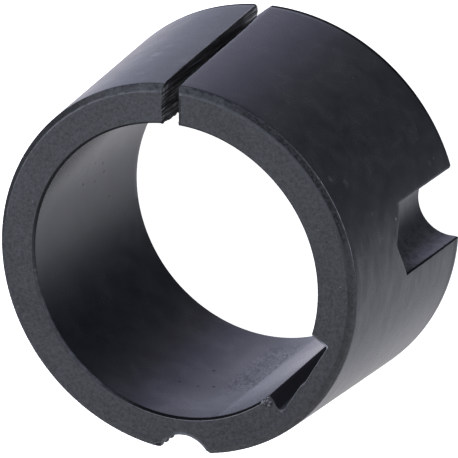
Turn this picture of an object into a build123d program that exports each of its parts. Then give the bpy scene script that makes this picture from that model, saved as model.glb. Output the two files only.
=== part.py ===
from build123d import *
import os
from math import cos, sin, tan, radians

# Taper bush: a split, tapered iron ring that clamps a pulley or sprocket hub
# onto a keyed shaft. It is one turned, drilled, broached and sawn piece.
#
# Frame: the bush stands on its large end. The origin is on the bore axis in
# the plane of the large-end face, +Z runs along the axis towards the small
# end, and the X axis runs through the two plain half-holes.
# Angles are measured about +Z from +X, as seen looking down on the small end.

# ---------------------------------------------------------------- driving dimensions (mm, degrees)
length = 22.2                # end face to end face
bore_diameter = 28.0         # shaft size
large_diameter = 38.25       # outside taper produced to the large-end face
half_taper = 4.0             # per side, 8 degrees included

small_end_chamfer = 0.6      # outside corner at the small end
large_end_chamfer = 0.3      # outside corner at the large end
bore_chamfer = 0.2           # both mouths of the bore

slot_width = 1.55            # saw cut through one side of the ring
slot_angle = 82.4            # direction of the cut, outwards from the axis
slot_shift_small = -0.40     # centre of the cut off the axis at the small end
slot_shift_large = -0.80     # and at the large end: the cut runs a little askew

keyway_width = 8.0           # keyway for the 28 mm shaft, shallow form
keyway_floor = 15.3          # flat floor to the bore axis
keyway_angle = -39.8
keyway_corner = 0.3          # radius in the two floor corners

screw_circle_radius = 18.45  # axes of all three half-holes
plain_hole_diameter = 6.8    # half-holes for the two clamping set screws
plain_hole_depth = 11.3      # straight depth from the large end
plain_hole_angles = (0.0, 180.0)
drill_point = 118.0          # included angle of the drill point

tapped_hole_diameter = 5.4   # core of the 1/4 inch jacking thread
tapped_hole_angle = -94.45
tapped_mouth_chamfer = 0.16  # both mouths of the tapped half-hole

# ---------------------------------------------------------------- derived
bore_radius = bore_diameter / 2
large_radius = large_diameter / 2
slope = tan(radians(half_taper))
small_radius = large_radius - length * slope
plain_radius = plain_hole_diameter / 2
tapped_radius = tapped_hole_diameter / 2
point_depth = plain_radius / tan(radians(drill_point / 2))


def taper_radius(z):
    """Outside radius of the taper at height z."""
    return large_radius - z * slope


os.makedirs("parts", exist_ok=True)

with BuildPart() as taper_bush:
    # turned ring: half section in the XZ plane, revolved about the bore axis
    with BuildSketch(Plane.XZ):
        with BuildLine():
            Polyline(
                (bore_radius, bore_chamfer),
                (bore_radius + bore_chamfer, 0),
                (large_radius - large_end_chamfer, 0),
                (taper_radius(large_end_chamfer), large_end_chamfer),
                (taper_radius(length - small_end_chamfer), length - small_end_chamfer),
                (taper_radius(length - small_end_chamfer) - small_end_chamfer, length),
                (bore_radius + bore_chamfer, length),
                (bore_radius, length - bore_chamfer),
                close=True,
            )
        make_face()
    revolve(axis=Axis.Z)

    # two plain half-holes from the large end, each with its drill point
    for angle in plain_hole_angles:
        a = radians(angle)
        drill_plane = Plane(
            origin=(screw_circle_radius * cos(a), screw_circle_radius * sin(a), 0),
            x_dir=(cos(a), sin(a), 0),
            z_dir=(sin(a), -cos(a), 0),
        )
        with BuildSketch(drill_plane):
            with BuildLine():
                Polyline(
                    (0, -1),
                    (plain_radius, -1),
                    (plain_radius, plain_hole_depth),
                    (0, plain_hole_depth + point_depth),
                    close=True,
                )
            make_face()
        revolve(axis=Axis(drill_plane.origin, (0, 0, 1)), mode=Mode.SUBTRACT)

    # tapped half-hole, right through, with a small chamfer at each mouth
    a = radians(tapped_hole_angle)
    tap_plane = Plane(
        origin=(screw_circle_radius * cos(a), screw_circle_radius * sin(a), 0),
        x_dir=(cos(a), sin(a), 0),
        z_dir=(sin(a), -cos(a), 0),
    )
    with BuildSketch(tap_plane):
        with BuildLine():
            Polyline(
                (0, -1),
                (tapped_radius + tapped_mouth_chamfer + 1, -1),
                (tapped_radius, tapped_mouth_chamfer),
                (tapped_radius, length - tapped_mouth_chamfer),
                (tapped_radius + tapped_mouth_chamfer + 1, length + 1),
                (0, length + 1),
                close=True,
            )
        make_face()
    revolve(axis=Axis(tap_plane.origin, (0, 0, 1)), mode=Mode.SUBTRACT)

    # shallow keyway broached along the whole bore
    with BuildSketch(Plane.XY.offset(-1)) as keyway:
        with Locations(Location((0, 0, 0), (0, 0, keyway_angle))):
            with Locations(Location(((keyway_floor + bore_radius - 6) / 2, 0, 0))):
                Rectangle(keyway_floor - bore_radius + 6, keyway_width)
        floor_corners = keyway.vertices().sort_by(
            Axis((0, 0, 0), (cos(radians(keyway_angle)), sin(radians(keyway_angle)), 0))
        )[-2:]
        fillet(floor_corners, radius=keyway_corner)
    extrude(amount=length + 2, mode=Mode.SUBTRACT)

    # saw cut through one side, slightly off the axis and askew
    s = radians(slot_angle)
    across = (sin(s), -cos(s), 0)
    shift = (slot_shift_small + slot_shift_large) / 2
    skew = (slot_shift_small - slot_shift_large) / length
    saw_plane = Plane(
        origin=(across[0] * shift + 8 * cos(s), across[1] * shift + 8 * sin(s), length / 2),
        x_dir=(across[0], across[1], -skew),
        z_dir=(cos(s), sin(s), 0),
    )
    with BuildSketch(saw_plane):
        Rectangle(slot_width, length * 1.3)
    extrude(amount=16, mode=Mode.SUBTRACT)

taper_bush.part.label = "taper_bush"
export_step(taper_bush.part, "parts/taper_bush.step")

print("small end diameter", round(2 * small_radius, 3), "volume", round(taper_bush.part.volume, 1), "solids", len(taper_bush.part.solids()))
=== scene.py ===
import math

import bpy
import numpy as np
from mathutils import Matrix, Vector
from mathutils.geometry import delaunay_2d_cdt


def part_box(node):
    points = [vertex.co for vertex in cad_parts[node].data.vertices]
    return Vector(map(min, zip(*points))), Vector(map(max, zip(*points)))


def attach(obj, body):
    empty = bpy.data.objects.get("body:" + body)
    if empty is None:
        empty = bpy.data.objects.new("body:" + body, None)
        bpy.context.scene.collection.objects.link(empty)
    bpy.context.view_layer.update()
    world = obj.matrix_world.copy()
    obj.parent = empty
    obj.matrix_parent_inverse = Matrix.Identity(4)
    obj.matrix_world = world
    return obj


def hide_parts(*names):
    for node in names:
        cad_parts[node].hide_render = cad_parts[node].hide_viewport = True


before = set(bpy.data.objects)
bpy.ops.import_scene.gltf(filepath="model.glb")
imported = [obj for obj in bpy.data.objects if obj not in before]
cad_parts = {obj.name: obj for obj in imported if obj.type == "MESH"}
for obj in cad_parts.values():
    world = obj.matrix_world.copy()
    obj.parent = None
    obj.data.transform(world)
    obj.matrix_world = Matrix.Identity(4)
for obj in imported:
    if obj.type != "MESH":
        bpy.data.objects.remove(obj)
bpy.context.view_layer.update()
NODE = "taper_bush"

# ------------------------------------------------------------------ sizes, mm
# the same driving dimensions as the CAD solid
low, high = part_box(NODE)
L = round((high[2] - low[2]) * 1000.0, 3)
BORE_R = 14.0
LARGE_R = 19.125
SLOPE = math.tan(math.radians(4.0))
SMALL_CHAMFER, LARGE_CHAMFER, BORE_CHAMFER = 0.6, 0.3, 0.2
SLOT_W, SLOT_DIR = 1.55, math.radians(82.4)
SLOT_SMALL, SLOT_LARGE = -0.32, -0.75
KEY_W, KEY_FLOOR, KEY_DIR = 8.0, 15.3, math.radians(-39.8)
SCREW_R = 18.45
PLAIN_R, PLAIN_DEPTH = 3.4, 11.3
POINT = PLAIN_R / math.tan(math.radians(59.0))
TAP_R, TAP_DIR, TAP_CHAMFER = 2.7, math.radians(-94.45), 0.16
PITCH, THREAD_DEPTH = 25.4 / 20.0, 0.56

e_dir = np.array([math.cos(SLOT_DIR), math.sin(SLOT_DIR)])
n_dir = np.array([math.sin(SLOT_DIR), -math.cos(SLOT_DIR)])


# ------------------------------------------------------------------ seeded noise
def _table(seed, size=4096):
    return np.random.RandomState(seed).uniform(-1.0, 1.0, size)


def noise1(x, seed):
    """Smooth value noise in one variable, from -1 to 1."""
    t = _table(seed)
    x = np.asarray(x, float) + 1000.0
    i = np.floor(x).astype(int)
    f = x - i
    f = f * f * (3.0 - 2.0 * f)
    return t[i % 4096] * (1.0 - f) + t[(i + 1) % 4096] * f


def noise2(x, y, seed):
    """Smooth value noise in two variables, from -1 to 1."""
    t = _table(seed)
    x, y = np.broadcast_arrays(np.asarray(x, float) + 500.0, np.asarray(y, float) + 500.0)
    i, j = np.floor(x).astype(int), np.floor(y).astype(int)
    fx, fy = x - i, y - j
    fx, fy = fx * fx * (3.0 - 2.0 * fx), fy * fy * (3.0 - 2.0 * fy)

    def at(a, b):
        return t[(a * 57 + b * 131 + (a * b) % 17) % 4096]

    return (at(i, j) * (1 - fx) + at(i + 1, j) * fx) * (1 - fy) + (at(i, j + 1) * (1 - fx) + at(i + 1, j + 1) * fx) * fy


# ------------------------------------------------------------------ edge profiles
def eased(h, c, r=0.05):
    """How far a wall with a 45 degree chamfer c stands back at the distance h from the end face; both corners rounded."""
    line = c - h
    back = 0.5 * (line + math.sqrt(line * line + r * r)) - 0.5 * (math.sqrt((c - 2.0) ** 2 + r * r) + c - 2.0)
    if h < r:
        back += 0.5 * r * (1.0 - h / r) ** 2
    return max(back, 0.0)


def rounded(h, r):
    """The same for a plain rounded edge of radius r."""
    return 0.0 if h >= r else r - math.sqrt(max(r * r - (r - h) ** 2, 0.0))


def outside_radius(z):
    return LARGE_R - z * SLOPE - eased(L - z, SMALL_CHAMFER) - eased(z, LARGE_CHAMFER)


def bore_radius(z):
    return BORE_R + eased(L - z, BORE_CHAMFER, 0.04) + eased(z, BORE_CHAMFER, 0.04)


def plain_radius(z):
    if z <= PLAIN_DEPTH:
        return PLAIN_R + rounded(z, 0.06)
    return max(PLAIN_R * (1.0 - (z - PLAIN_DEPTH) / POINT), 0.0)


def slot_shift(z):
    return SLOT_LARGE + (SLOT_SMALL - SLOT_LARGE) * z / L


WANDER = {
    -1: ((0.0, 0.0), (6.5, 0.0), (9.0, 0.09), (21.2, 0.09), (22.2, 0.02)),
    1: ((0.0, -0.08), (1.2, -0.22), (3.0, -0.36), (4.8, -0.20), (6.5, -0.10), (9.0, -0.10), (12.0, -0.14), (20.0, -0.14), (21.6, -0.06), (22.2, 0.0)),
}


def wander(z, side):
    """How far the saw ran off the straight line on each wall, along the cut. Positive cuts into the metal."""
    zs, ds = zip(*WANDER[side])
    return float(np.interp(z, zs, ds))


def saw_marks(t, z, side):
    """Relief of a sawn wall: straight ridges along the axis. t is the distance from the axis. Positive cuts into the metal."""
    u = t + 0.018 * noise1(z / 5.0, 70 + side)
    a = 0.026 * noise1(u / 0.19, 11 + side)
    a += 0.018 * noise1(u / 0.33 + 7.3, 21 + side) * (0.7 + 0.3 * noise1(z / 4.0, 31 + side))
    a += 0.012 * noise2(u / 0.15, z / 3.4, 41 + side)
    a += 0.010 * noise2(u / 0.30, z / 0.6, 51 + side)
    return a


def saw_burr(z, side):
    """How far the saw's burr hangs from a wall's inner corner into the bore: small torn steps, larger near the small end."""
    if side > 0:
        return 0.015 + 0.015 * float(noise1(z / 0.3, 97))
    steps = float(noise1(z / 0.42, 95)) + 0.5 * float(noise1(z / 0.17, 96))
    hang = 0.15 + 0.05 * math.exp(-((L - z - 2.3) / 0.8) ** 2) + 0.075 * steps
    return max(0.0, hang) * (0.5 + 0.5 * min(1.0, max(0.0, (z - 12.0) / 6.0))) * min(1.0, (L - z) / 0.55)


def bezier(p0, p1, p2, n):
    """n points strictly between p0 and p2 on the corner that p1 rounds."""
    s = (np.arange(1, n + 1) / (n + 1.0))[:, None]
    return (1 - s) ** 2 * p0 + 2 * s * (1 - s) * p1 + s * s * p2


def unit(a):
    return np.stack([np.cos(a), np.sin(a)], -1)


# ------------------------------------------------------------------ column layout
# One closed loop round the section: each entry is (name, number of points, points per level step).
WALL_N = 58
LAYOUT = [
    ("wall_left", WALL_N, 2), ("corner_ol", 5, 2),
    ("arc1", 42, 1), ("corner_b1", 4, 1), ("hole_b", 26, 1), ("corner_b2", 4, 1),
    ("arc2", 34, 1), ("corner_t1", 9, 4), ("thread", 44, 4), ("corner_t2", 4, 4),
    ("arc3", 38, 1), ("corner_a1", 4, 1), ("hole_a", 26, 1), ("corner_a2", 4, 1),
    ("arc4", 36, 1), ("corner_or", 5, 2), ("wall_right", WALL_N, 2), ("corner_ir", 5, 2),
    ("bore1", 48, 1), ("corner_k1", 4, 1), ("key_wall_a", 6, 1), ("key_corner_a", 5, 1), ("key_floor", 30, 1),
    ("key_corner_b", 5, 1), ("key_wall_b", 6, 1), ("corner_k2", 4, 1), ("bore2", 110, 1), ("corner_il", 5, 2),
]
COLS, STEP, START = [], [], {}
for name, count, step in LAYOUT:
    START[name] = len(COLS)
    COLS += [name] * count
    STEP += [step] * count
N = len(COLS)


def thread_wall(psi, z, inset):
    """Radius of the tapped half-hole's wall in the direction psi about its own axis: a right-hand thread with eased crests and roots."""
    u = (z / PITCH - psi / (2.0 * math.pi) + 0.30) % 1.0
    d = np.minimum(u, 1.0 - u) * PITCH
    v = (0.34 - d) / math.tan(math.radians(27.5))
    k = 0.05
    v = 0.5 * (v + np.sqrt(v * v + k * k))
    v = THREAD_DEPTH - 0.5 * ((THREAD_DEPTH - v) + np.sqrt((THREAD_DEPTH - v) ** 2 + k * k)) + 0.5 * k
    v = np.clip(v - 0.012, 0.0, None)
    # the mouth chamfer takes the crests away and leaves what of the groove is deeper
    return TAP_R + np.maximum(v, inset) + 0.012 * noise2(psi * 6.0, z / 0.5, 91)


def notch_ends(centre, inward, z, inset, R):
    """The two directions about the tapped half-hole's axis at which its wall meets the outside circle."""
    ends = []
    for side in (1.0, -1.0):
        a = np.linspace(0.6, 2.4, 241)
        for _ in range(2):
            psi = inward + side * a
            r = thread_wall(psi, z, inset)
            f = np.hypot(centre[0] + r * np.cos(psi), centre[1] + r * np.sin(psi)) - R
            q = int(np.argmax(f > 0.0))
            a = np.linspace(a[q - 1], a[q], 9)
        ends.append(inward + side * 0.5 * (a[0] + a[-1]))
    return ends


def section(z):
    """The section's closed outline at height z: N points, in the order of LAYOUT."""
    R, rb = outside_radius(z), bore_radius(z)
    edge = rounded(z, 0.07) + rounded(L - z, 0.07)
    out = {}
    c_edge = 0.11

    # saw cut: both walls, from saw marks, stand back a little at the end faces
    shift = slot_shift(z)
    walls = {}
    ease = {-1: rounded(z, 0.22) + rounded(L - z, 0.02) + wander(z, -1), 1: rounded(z, 0.05) + rounded(L - z, 0.30) + wander(z, 1)}
    for side, name in ((-1, "left"), (1, "right")):
        t0 = math.sqrt(rb * rb - (shift + side * SLOT_W / 2) ** 2)
        t1 = math.sqrt(R * R - (shift + side * SLOT_W / 2) ** 2)
        # the eased corners: how far they reach along the wall and along the neighbouring face
        d_in = max(0.05, 0.13 + 0.09 * noise1(z / 0.55, 61 + side) + 0.05 * noise1(z / 0.21, 63 + side))
        d_out = 0.105 + 0.035 * side + 0.03 * noise1(z / 0.7, 65 + side) + 0.03 * noise1(z / 0.2, 67 + side)
        if side < 0:
            d_out += 0.42 * max(0.0, 1.0 - z / 1.0) ** 1.5
        t = np.linspace(t0 + d_in, t1 - d_out, WALL_N)
        off = shift + side * (SLOT_W / 2 + ease[side] + saw_marks(t, z, side))
        p = off[:, None] * n_dir + t[:, None] * e_dir
        off_in = shift + side * (SLOT_W / 2 + ease[side] + float(saw_marks(t0, z, side)))
        off_out = shift + side * (SLOT_W / 2 + ease[side] + float(saw_marks(t1, z, side)))
        corner_in = off_in * n_dir + (math.sqrt(rb * rb - off_in**2) - 2.0 * saw_burr(z, side)) * e_dir
        corner_out = off_out * n_dir + math.sqrt(R * R - off_out**2) * e_dir
        walls[name] = (p, corner_in, corner_out, d_in, d_out)
    out["wall_left"] = walls["left"][0]
    out["wall_right"] = walls["right"][0][::-1]

    a_left = math.atan2(walls["left"][2][1], walls["left"][2][0]) + walls["left"][4] * 1.1 / R
    a_right = math.atan2(walls["right"][2][1], walls["right"][2][0]) - walls["right"][4] * 1.1 / R

    # plain half-holes
    rn = plain_radius(z)
    holes = {}
    for name, base in (("b", math.pi), ("a", 2.0 * math.pi)):
        centre = SCREW_R * unit(np.array(base))
        if SCREW_R - rn < R - 1e-6:
            cosb = (R * R + SCREW_R**2 - rn * rn) / (2.0 * R * SCREW_R)
            half = math.acos(min(1.0, cosb))
            c1, c2 = R * unit(np.array(base - half)), R * unit(np.array(base + half))
            psi1 = math.atan2(*(c1 - centre)[::-1])
            psi2 = math.atan2(*(c2 - centre)[::-1])
            inward = base + math.pi
            psi1 = inward + ((psi1 - inward + math.pi) % (2 * math.pi) - math.pi)
            psi2 = inward + ((psi2 - inward + math.pi) % (2 * math.pi) - math.pi)
            width = R * half
            flare = max(0.0, 1.0 - z / 0.45)
            d = min(0.09 + 0.02 * float(noise1(z / 0.8, 71)) + 0.30 * flare * flare, 0.25 * width)
            e1 = base - half - d / R
            e2 = base + half + d / R
            q1, q2 = psi1 + math.copysign(d / max(rn, 0.3), inward - psi1), psi2 + math.copysign(d / max(rn, 0.3), inward - psi2)
            psi = np.linspace(q1, q2, 26)
            wall = centre + rn * unit(psi)
            # the mouth's far corner is rubbed round at the large end
            mouth = 0.42 * max(0.0, 1.0 - z / 0.75) ** 2
            e2 += mouth / R
            moved = R * unit(np.array(base + half + mouth / R)) - c2
            c2 = c2 + moved
            share = np.clip((np.arange(26) - 14.0) / 11.0, 0.0, 1.0) ** 2
            wall = wall + share[:, None] * moved
            out["hole_" + name] = wall
            out["corner_%s1" % name] = bezier(R * unit(np.array(e1)), c1, wall[0], 4)
            out["corner_%s2" % name] = bezier(wall[-1], c2, R * unit(np.array(e2)), 4)
        else:
            half, e1, e2 = 0.0, base, base
            tip = R * unit(np.array(base))
            out["hole_" + name] = np.repeat(tip[None], 26, 0)
            out["corner_%s1" % name] = np.repeat(tip[None], 4, 0)
            out["corner_%s2" % name] = np.repeat(tip[None], 4, 0)
        holes[name] = (e1, e2)

    # tapped half-hole
    centre = SCREW_R * unit(np.array(TAP_DIR + 2 * math.pi))
    inward = TAP_DIR + math.pi
    inset = eased(z, TAP_CHAMFER, 0.04) + eased(L - z, TAP_CHAMFER, 0.04)
    ends = notch_ends(centre, inward, z, inset, R)
    pts = [centre + float(thread_wall(np.array(s), z, inset)) * unit(np.array(s)) for s in ends]
    ang = [math.atan2(p[1], p[0]) % (2 * math.pi) for p in pts]
    if ang[0] > ang[1]:
        ends, pts, ang = ends[::-1], pts[::-1], ang[::-1]
    sgn = math.copysign(1.0, ends[1] - ends[0])
    d, wear_and_highlight = 0.07, 0.07 + 0.74 * max(0.0, 1.0 - (L - z) / 1.5) ** 1.5
    psi = np.linspace(ends[0] + sgn * wear_and_highlight / 2.9, ends[1] - sgn * d / 2.9, 44)
    wall = centre + thread_wall(psi, z, inset)[:, None] * unit(psi)
    out["thread"] = wall
    t1, t2 = ang[0] - wear_and_highlight / R, ang[1] + d / R
    torn = bezier(R * unit(np.array(t1)), pts[0], wall[0], 9)
    if L - z < 1.4:
        # broken thread crests stand out of the worn corner as small lumps
        along = np.arange(9) / 9.0 * 1.6
        lump = noise2(along / 0.34 + 5.0, (L - z) / 0.30, 131) * np.sin(np.pi * (np.arange(9) + 1) / 10.0)
        torn = torn + (0.11 * min(1.0, wear_and_highlight / 0.4) * lump)[:, None] * unit(np.array(TAP_DIR - 0.35))
    out["corner_t1"] = torn
    out["corner_t2"] = bezier(wall[-1], pts[1], R * unit(np.array(t2)), 4)
    nominal = math.acos((R * R + SCREW_R**2 - 2.95**2) / (2.0 * R * SCREW_R))
    tb = TAP_DIR + 2 * math.pi

    def arc(a0, a1, n, r, first=None, last=None):
        a = np.linspace(a0, a1, n)
        if first is not None:
            a[0] = first
        if last is not None:
            a[-1] = last
        return r * unit(a)

    out["arc1"] = arc(a_left, holes["b"][0], 42, R)
    out["arc2"] = arc(holes["b"][1], tb - nominal - 0.02, 34, R, last=t1)
    out["arc3"] = arc(tb + nominal + 0.02, holes["a"][0], 38, R, first=t2)
    out["arc4"] = arc(holes["a"][1], a_right + 2 * math.pi, 36, R)
    out["corner_ol"] = bezier(out["wall_left"][-1], walls["left"][2], out["arc1"][0], 5)
    out["corner_or"] = bezier(out["arc4"][-1], walls["right"][2], out["wall_right"][0], 5)

    # keyway, in its own axes: k along its centre line, w across it
    k_dir = unit(np.array(KEY_DIR))
    w_dir = unit(np.array(KEY_DIR + math.pi / 2))
    hw = KEY_W / 2 + edge

    def kp(k, w):
        k, w = np.broadcast_arrays(np.asarray(k, float), np.asarray(w, float))
        return k[..., None] * k_dir + w[..., None] * w_dir

    def floor_at(w):
        """Flat floor left by two passes of the tool, with a small step between them."""
        w = np.asarray(w, float)
        s = 1.0 / (1.0 + np.exp(-(w + 0.62 + 0.05 * noise1(z / 1.9, 81)) / 0.035))
        one = 15.335 - 0.012 * (w + 4.0)
        two = 15.455 - 0.045 * (w + 0.6)
        return one * (1 - s) + two * s + edge + 0.008 * noise2(w / 0.25, z / 4.0, 83)

    mouth = math.sqrt(rb * rb - hw * hw)
    ca, cb = kp(mouth, hw), kp(mouth, -hw)
    ha = hw + rounded(L - z, 0.17)
    ca = kp(math.sqrt(rb * rb - ha * ha), ha)
    da = 0.09 + 0.02 * float(noise1(z / 0.6, 85))
    db = 0.09 + 0.03 * float(noise1(z / 0.5, 86))
    rc, rd = 0.16, 0.50
    ka = KEY_DIR + math.asin(ha / rb) + da / rb
    kb = KEY_DIR - math.asin(hw / rb) - db / rb
    fa, fb = float(floor_at(ha - rc)), float(floor_at(-hw + rd))
    out["key_wall_a"] = kp(np.linspace(mouth + da, fa - rc, 6), ha)
    out["key_floor"] = kp(floor_at(np.linspace(ha - rc, -hw + rd, 30)), np.linspace(ha - rc, -hw + rd, 30))
    # torn metal hangs over this wall's front corner, next to the bore
    hang = 0.0 if L - z > 0.7 else 0.42 * math.exp(-((L - z) / 0.30) ** 2) * (0.8 + 0.35 * float(noise1((L - z) / 0.09, 141)))
    share = np.array([0.0, 0.10, 0.36, 0.72, 0.95, 1.0])
    out["key_wall_b"] = kp(np.linspace(fb - rd, mouth + db, 6), -hw + hang * share)
    out["key_corner_a"] = bezier(out["key_wall_a"][-1], kp(fa, ha), out["key_floor"][0], 5)
    out["key_corner_b"] = bezier(out["key_floor"][-1], kp(fb, -hw), out["key_wall_b"][0], 5)

    b_right = math.atan2(walls["right"][1][1], walls["right"][1][0]) - walls["right"][3] * 1.1 / rb
    b_left = math.atan2(walls["left"][1][1], walls["left"][1][0]) + walls["left"][3] * 1.1 / rb
    out["bore1"] = arc(b_right, ka, 48, rb)
    b2 = np.concatenate([kb - np.arange(20) * 0.07 / 14.0, np.linspace(kb - 20 * 0.07 / 14.0, b_left - 2 * math.pi, 90)])
    r2 = np.full(len(b2), rb)
    w = (kb - b2) * 14.0  # mm from the keyway's corner
    if z > L - 0.75:
        h = L - z
        lump = np.clip(noise2(w / 0.16 + 3.1, h / 0.14, 121), -1.0, 1.0) * np.exp(-((w - 0.26) / 0.33) ** 2 - (h / 0.42) ** 2)
        r2 = r2 - 0.13 * lump * min(1.0, h / 0.05 + 0.3)
    out["bore2"] = r2[:, None] * unit(b2)
    out["corner_k1"] = bezier(out["bore1"][-1], ca, out["key_wall_a"][0], 4)
    if hang > 0.0:
        out["bore2"] = out["bore2"] + (hang * np.clip(0.75 - w / 0.7, 0.0, 1.0))[:, None] * w_dir
        cb = cb + 0.95 * hang * w_dir
    out["corner_k2"] = bezier(out["key_wall_b"][-1], cb, out["bore2"][0], 4)
    out["corner_ir"] = bezier(out["wall_right"][-1], walls["right"][1], out["bore1"][0], 5)
    out["corner_il"] = bezier(out["bore2"][-1], walls["left"][1], out["wall_left"][0], 5)
    return np.concatenate([out[name] for name, _, _ in LAYOUT])


# ------------------------------------------------------------------ levels
near = [0.0, 0.006, 0.02, 0.045, 0.08, 0.13, 0.18, 0.22, 0.26, 0.30, 0.36, 0.44, 0.52, 0.57, 0.61, 0.67, 0.80]
z_tip = None
lo_, hi_ = PLAIN_DEPTH, PLAIN_DEPTH + POINT
for _ in range(60):  # where the drill point runs out through the taper
    mid = 0.5 * (lo_ + hi_)
    if SCREW_R - plain_radius(mid) < outside_radius(mid):
        lo_ = mid
    else:
        hi_ = mid
z_tip = hi_ + 1e-4
levels = list(near)
levels += list(np.linspace(0.80, PLAIN_DEPTH, 32)[1:])
levels += list(np.linspace(PLAIN_DEPTH, z_tip, 17)[1:])
levels += list(np.linspace(z_tip, L - 0.80, 26)[1:])
levels += [L - h for h in near[::-1][1:]]
levels = np.array(levels)
K = len(levels)

# ------------------------------------------------------------------ mesh
verts, ids = [], {}
collapsed = {i for i, c in enumerate(COLS) if c in ("hole_a", "corner_a1", "corner_a2", "hole_b", "corner_b1", "corner_b2")}
tip_of = {}
for base in ("a", "b"):
    lo_i, hi_i = START["corner_%s1" % base], START["corner_%s2" % base] + 4
    for i in range(lo_i, hi_i):
        tip_of[i] = lo_i
    prev_arc, next_arc = lo_i - 1, hi_i
    tip_of[prev_arc] = lo_i
    tip_of[next_arc] = lo_i


def vertex(i, k, s, p, z):
    """The vertex of column i at sub-level s above level k, made once."""
    i = i % N
    if z >= z_tip - 1e-6 and i in tip_of:
        i = tip_of[i]
    key = (i, k, s)
    if key not in ids:
        ids[key] = len(verts)
        verts.append((p[0], p[1], z))
    return ids[key]


TOP = 4
grid = {}
for k in range(K):
    for s in range(TOP if k < K - 1 else 1):
        z = levels[k] if s == 0 else levels[k] + (levels[k + 1] - levels[k]) * s / TOP
        pts = section(float(z))
        for i in range(N):
            if s % (TOP // STEP[i]) == 0:
                grid[(i, k, s)] = vertex(i, k, s, pts[i], float(z))

MATS = ["face", "taper", "bore", "sawn", "keyway", "drilled", "thread", "chamfer", "bore_edge"]
KIND = {
    "wall_left": 3, "wall_right": 3, "corner_ol": 1, "corner_or": 1, "corner_il": 3, "corner_ir": 3,
    "arc1": 1, "arc2": 1, "arc3": 1, "arc4": 1,
    "corner_a1": 5, "corner_a2": 5, "corner_b1": 5, "corner_b2": 5, "hole_a": 5, "hole_b": 5,
    "corner_t1": 6, "corner_t2": 6, "thread": 6,
    "bore1": 2, "bore2": 2,
    "corner_k1": 4, "corner_k2": 4, "key_wall_a": 4, "key_wall_b": 4, "key_corner_a": 4, "key_corner_b": 4, "key_floor": 4,
}
faces, face_mat = [], []


def add_face(loop, mat):
    clean = []
    for v in loop:
        if not clean or clean[-1] != v:
            clean.append(v)
    if len(clean) > 1 and clean[0] == clean[-1]:
        clean.pop()
    if len(set(clean)) >= 3:
        faces.append(clean)
        face_mat.append(mat)


def column(i, k):
    """Vertices of column i from level k up to level k + 1, both included."""
    step = TOP // STEP[i]
    run = [grid[(i, k, s)] for s in range(0, TOP, step)]
    return run + [grid[(i, k + 1, 0)]]


for k in range(K - 1):
    for i in range(N):
        j = (i + 1) % N
        a, b = column(i, k), column(j, k)
        ma, mb = KIND[COLS[i]], KIND[COLS[j]]
        mat = ma if ma == mb else (ma if ma in (3, 4, 5, 6) else mb)
        if {COLS[i], COLS[j]} in ({"wall_left", "corner_ol"}, {"wall_right", "corner_or"}):
            mat = 1
        zm = 0.5 * (levels[k] + levels[k + 1])
        if mat == 5 and zm > z_tip:
            mat = 1
        if mat == 1 and (zm > L - SMALL_CHAMFER - 0.01 or zm < LARGE_CHAMFER):
            mat = 7
        if mat == 2 and (zm > L - BORE_CHAMFER - 0.11 or zm < BORE_CHAMFER):
            mat = 8
        if len(a) == len(b):
            for m in range(len(a) - 1):
                add_face([a[m], b[m], b[m + 1], a[m + 1]], mat)
        elif len(a) < len(b):
            r = (len(b) - 1) // (len(a) - 1)
            for m in range(len(a) - 1):
                seg = b[m * r:(m + 1) * r + 1]
                half = len(seg) // 2
                for q in range(half):
                    add_face([a[m], seg[q], seg[q + 1]], mat)
                add_face([a[m], seg[half], a[m + 1]], mat)
                for q in range(half, len(seg) - 1):
                    add_face([a[m + 1], seg[q], seg[q + 1]], mat)
        else:
            r = (len(a) - 1) // (len(b) - 1)
            for m in range(len(b) - 1):
                seg = a[m * r:(m + 1) * r + 1]
                half = len(seg) // 2
                for q in range(half):
                    add_face([seg[q], b[m], seg[q + 1]], mat)
                add_face([seg[half], b[m], b[m + 1]], mat)
                for q in range(half, len(seg) - 1):
                    add_face([seg[q], b[m + 1], seg[q + 1]], mat)

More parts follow.
